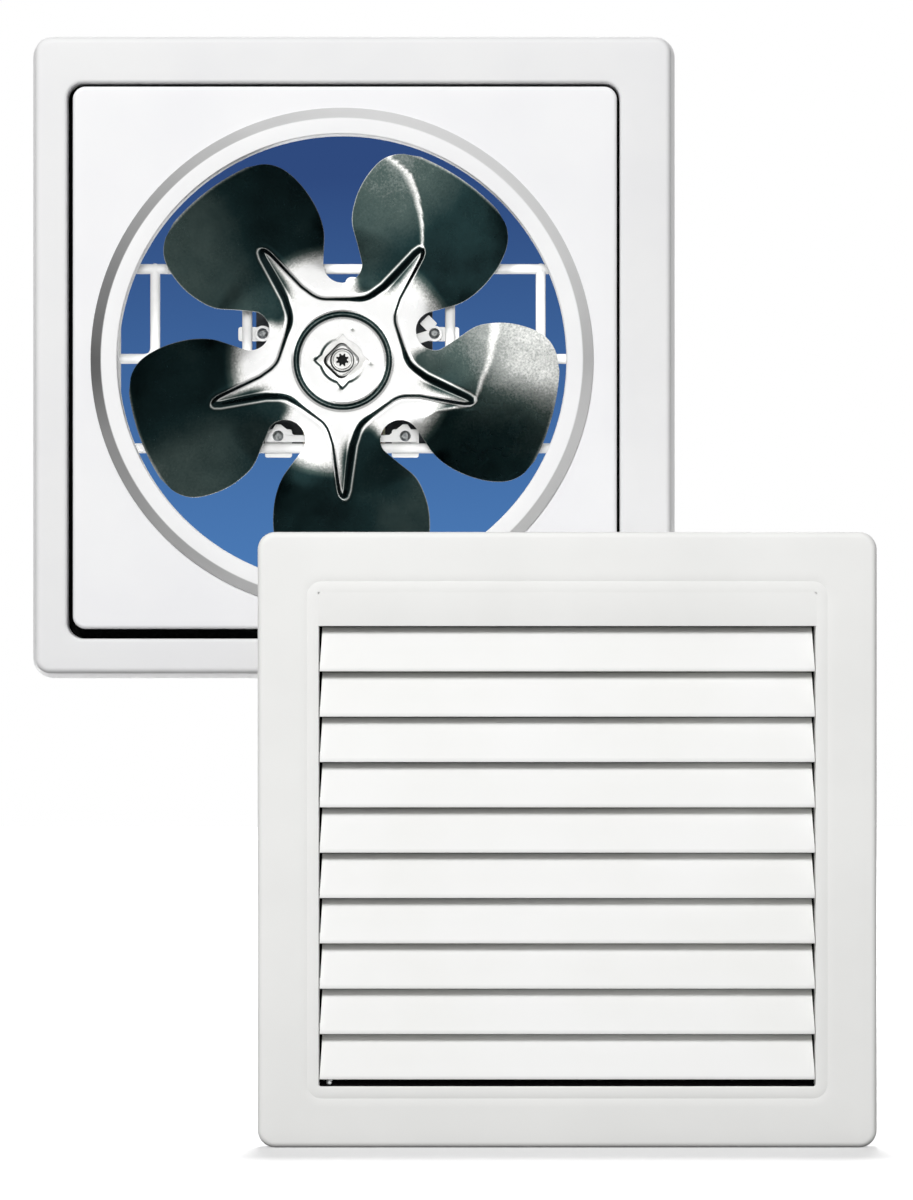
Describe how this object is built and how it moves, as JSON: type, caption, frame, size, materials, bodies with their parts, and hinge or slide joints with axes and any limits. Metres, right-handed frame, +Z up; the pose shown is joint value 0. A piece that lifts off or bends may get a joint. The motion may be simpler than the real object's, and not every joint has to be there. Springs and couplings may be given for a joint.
{
  "type": "window exhaust fan",
  "caption": "Square window exhaust fan with a five-bladed pressed impeller in a bell-mouthed panel, and its louvred outlet unit with gravity slats taken off and set in front.",
  "frame": {"origin": "on the impeller's axis, in the plane where the outer frame's rear rim meets the window", "axes": "+Z up, -Y towards the room and out of the fan's seen face, +X to the right seen from the room"},
  "size_m": [0.3942, 0.2311, 0.5192],
  "materials": {
    "casing_plastic": "smooth satin gloss, white",
    "panel_plastic": "smooth satin gloss, white",
    "white_steel": "white powder coat on steel",
    "zinc_fasteners": "zinc plated",
    "cast_zinc": "die cast, matt",
    "laminated_steel": "stacked sheet, dark",
    "copper_winding": "enamelled copper wire",
    "bobbin_plastic": "natural nylon",
    "bronze_bush": "sintered bronze",
    "bright_steel": "bright turned steel",
    "pressed_aluminium": "bright rolled sheet",
    "black_plastic": "moulded, matt",
    "slat_plastic": "smooth satin gloss, white"
  },
  "bodies": {
    "fan_unit": {"outer_frame": "casing_plastic", "wall_sleeve": "casing_plastic", "orifice_panel": "panel_plastic", "throat_ring": "panel_plastic", "wire_cradle": "white_steel", "cradle_clip_upper_left": "white_steel", "cradle_clip_lower_left": "white_steel", "cradle_clip_upper_right": "white_steel", "cradle_clip_lower_right": "white_steel", "clip_screw_upper_left": "zinc_fasteners", "clip_screw_lower_left": "zinc_fasteners", "clip_screw_upper_right": "zinc_fasteners", "clip_screw_lower_right": "zinc_fasteners", "motor_carrier": "white_steel", "wire_clamp_lower_left": "white_steel", "wire_clamp_lower_right": "white_steel", "wire_clamp_upper_right": "white_steel", "wire_clamp_upper_left": "white_steel", "carrier_screw_lower_left": "zinc_fasteners", "carrier_screw_lower_right": "zinc_fasteners", "carrier_screw_upper_right": "zinc_fasteners", "carrier_screw_upper_left": "zinc_fasteners", "stator_core": "laminated_steel", "coil_bobbin": "bobbin_plastic", "motor_coil": "copper_winding", "front_bearing_bracket": "cast_zinc", "rear_bearing_bracket": "cast_zinc", "front_bearing": "bronze_bush", "rear_bearing": "bronze_bush", "motor_bolt_left": "zinc_fasteners", "motor_bolt_right": "zinc_fasteners", "terminal_block": "black_plastic", "cable_inlet": "black_plastic", "inlet_nut": "black_plastic"},
    "impeller_set": {"impeller": "pressed_aluminium", "hub_boss": "cast_zinc", "hub_washer": "bright_steel", "hub_nut": "bright_steel", "hub_screw": "zinc_fasteners", "motor_shaft": "bright_steel", "motor_rotor": "laminated_steel"},
    "louvre_unit": {"louvre_frame": "casing_plastic", "slat_rest_peg": "zinc_fasteners"},
    "slat_01": {"slat_01": "slat_plastic"},
    "slat_02": {"slat_02": "slat_plastic"},
    "slat_03": {"slat_03": "slat_plastic"},
    "slat_04": {"slat_04": "slat_plastic"},
    "slat_05": {"slat_05": "slat_plastic"},
    "slat_06": {"slat_06": "slat_plastic"},
    "slat_07": {"slat_07": "slat_plastic"},
    "slat_08": {"slat_08": "slat_plastic"},
    "slat_09": {"slat_09": "slat_plastic"},
    "slat_10": {"slat_10": "slat_plastic"},
    "tie_bar": {"tie_bar": "slat_plastic"}
  },
  "joints": [
    {"name": "impeller_spin", "type": "hinge", "parent": "fan_unit", "child": "impeller_set", "pos_m": [0, 0, 0], "axis": [0, 1, 0], "continuous": true},
    {"name": "louvre_unit_pull", "type": "slide", "parent": "fan_unit", "child": "louvre_unit", "axis": [0, -1, 0], "range_m": [0, 0.15]},
    {"name": "slat_01_hinge", "type": "hinge", "parent": "louvre_unit", "child": "slat_01", "pos_m": [0.1048, -0.1129, -0.12275], "axis": [-1, 0, 0], "range_deg": [0, 40]},
    {"name": "slat_02_hinge", "type": "hinge", "parent": "louvre_unit", "child": "slat_02", "pos_m": [0.1048, -0.1129, -0.1435], "axis": [-1, 0, 0], "range_deg": [0, 40]},
    {"name": "slat_03_hinge", "type": "hinge", "parent": "louvre_unit", "child": "slat_03", "pos_m": [0.1048, -0.1129, -0.16425], "axis": [-1, 0, 0], "range_deg": [0, 40]},
    {"name": "slat_04_hinge", "type": "hinge", "parent": "louvre_unit", "child": "slat_04", "pos_m": [0.1048, -0.1129, -0.185], "axis": [-1, 0, 0], "range_deg": [0, 40]},
    {"name": "slat_05_hinge", "type": "hinge", "parent": "louvre_unit", "child": "slat_05", "pos_m": [0.1048, -0.1129, -0.20575], "axis": [-1, 0, 0], "range_deg": [0, 40]},
    {"name": "slat_06_hinge", "type": "hinge", "parent": "louvre_unit", "child": "slat_06", "pos_m": [0.1048, -0.1129, -0.2265], "axis": [-1, 0, 0], "range_deg": [0, 40]},
    {"name": "slat_07_hinge", "type": "hinge", "parent": "louvre_unit", "child": "slat_07", "pos_m": [0.1048, -0.1129, -0.24725], "axis": [-1, 0, 0], "range_deg": [0, 40]},
    {"name": "slat_08_hinge", "type": "hinge", "parent": "louvre_unit", "child": "slat_08", "pos_m": [0.1048, -0.1129, -0.268], "axis": [-1, 0, 0], "range_deg": [0, 40]},
    {"name": "slat_09_hinge", "type": "hinge", "parent": "louvre_unit", "child": "slat_09", "pos_m": [0.1048, -0.1129, -0.28875], "axis": [-1, 0, 0], "range_deg": [0, 40]},
    {"name": "slat_10_hinge", "type": "hinge", "parent": "louvre_unit", "child": "slat_10", "pos_m": [0.1048, -0.1129, -0.3095], "axis": [-1, 0, 0], "range_deg": [0, 40]},
    {"name": "tie_bar_pivot", "type": "hinge", "parent": "slat_01", "child": "tie_bar", "pos_m": [0.1048, -0.1029, -0.12275], "axis": [-1, 0, 0], "range_deg": [-40, 0]}
  ],
  "couplings": [
    {"joint": "slat_02_hinge", "follows": "slat_01_hinge", "ratio": 1},
    {"joint": "slat_03_hinge", "follows": "slat_01_hinge", "ratio": 1},
    {"joint": "slat_04_hinge", "follows": "slat_01_hinge", "ratio": 1},
    {"joint": "slat_05_hinge", "follows": "slat_01_hinge", "ratio": 1},
    {"joint": "slat_06_hinge", "follows": "slat_01_hinge", "ratio": 1},
    {"joint": "slat_07_hinge", "follows": "slat_01_hinge", "ratio": 1},
    {"joint": "slat_08_hinge", "follows": "slat_01_hinge", "ratio": 1},
    {"joint": "slat_09_hinge", "follows": "slat_01_hinge", "ratio": 1},
    {"joint": "slat_10_hinge", "follows": "slat_01_hinge", "ratio": 1},
    {"joint": "tie_bar_pivot", "follows": "slat_01_hinge", "ratio": -1}
  ]
}
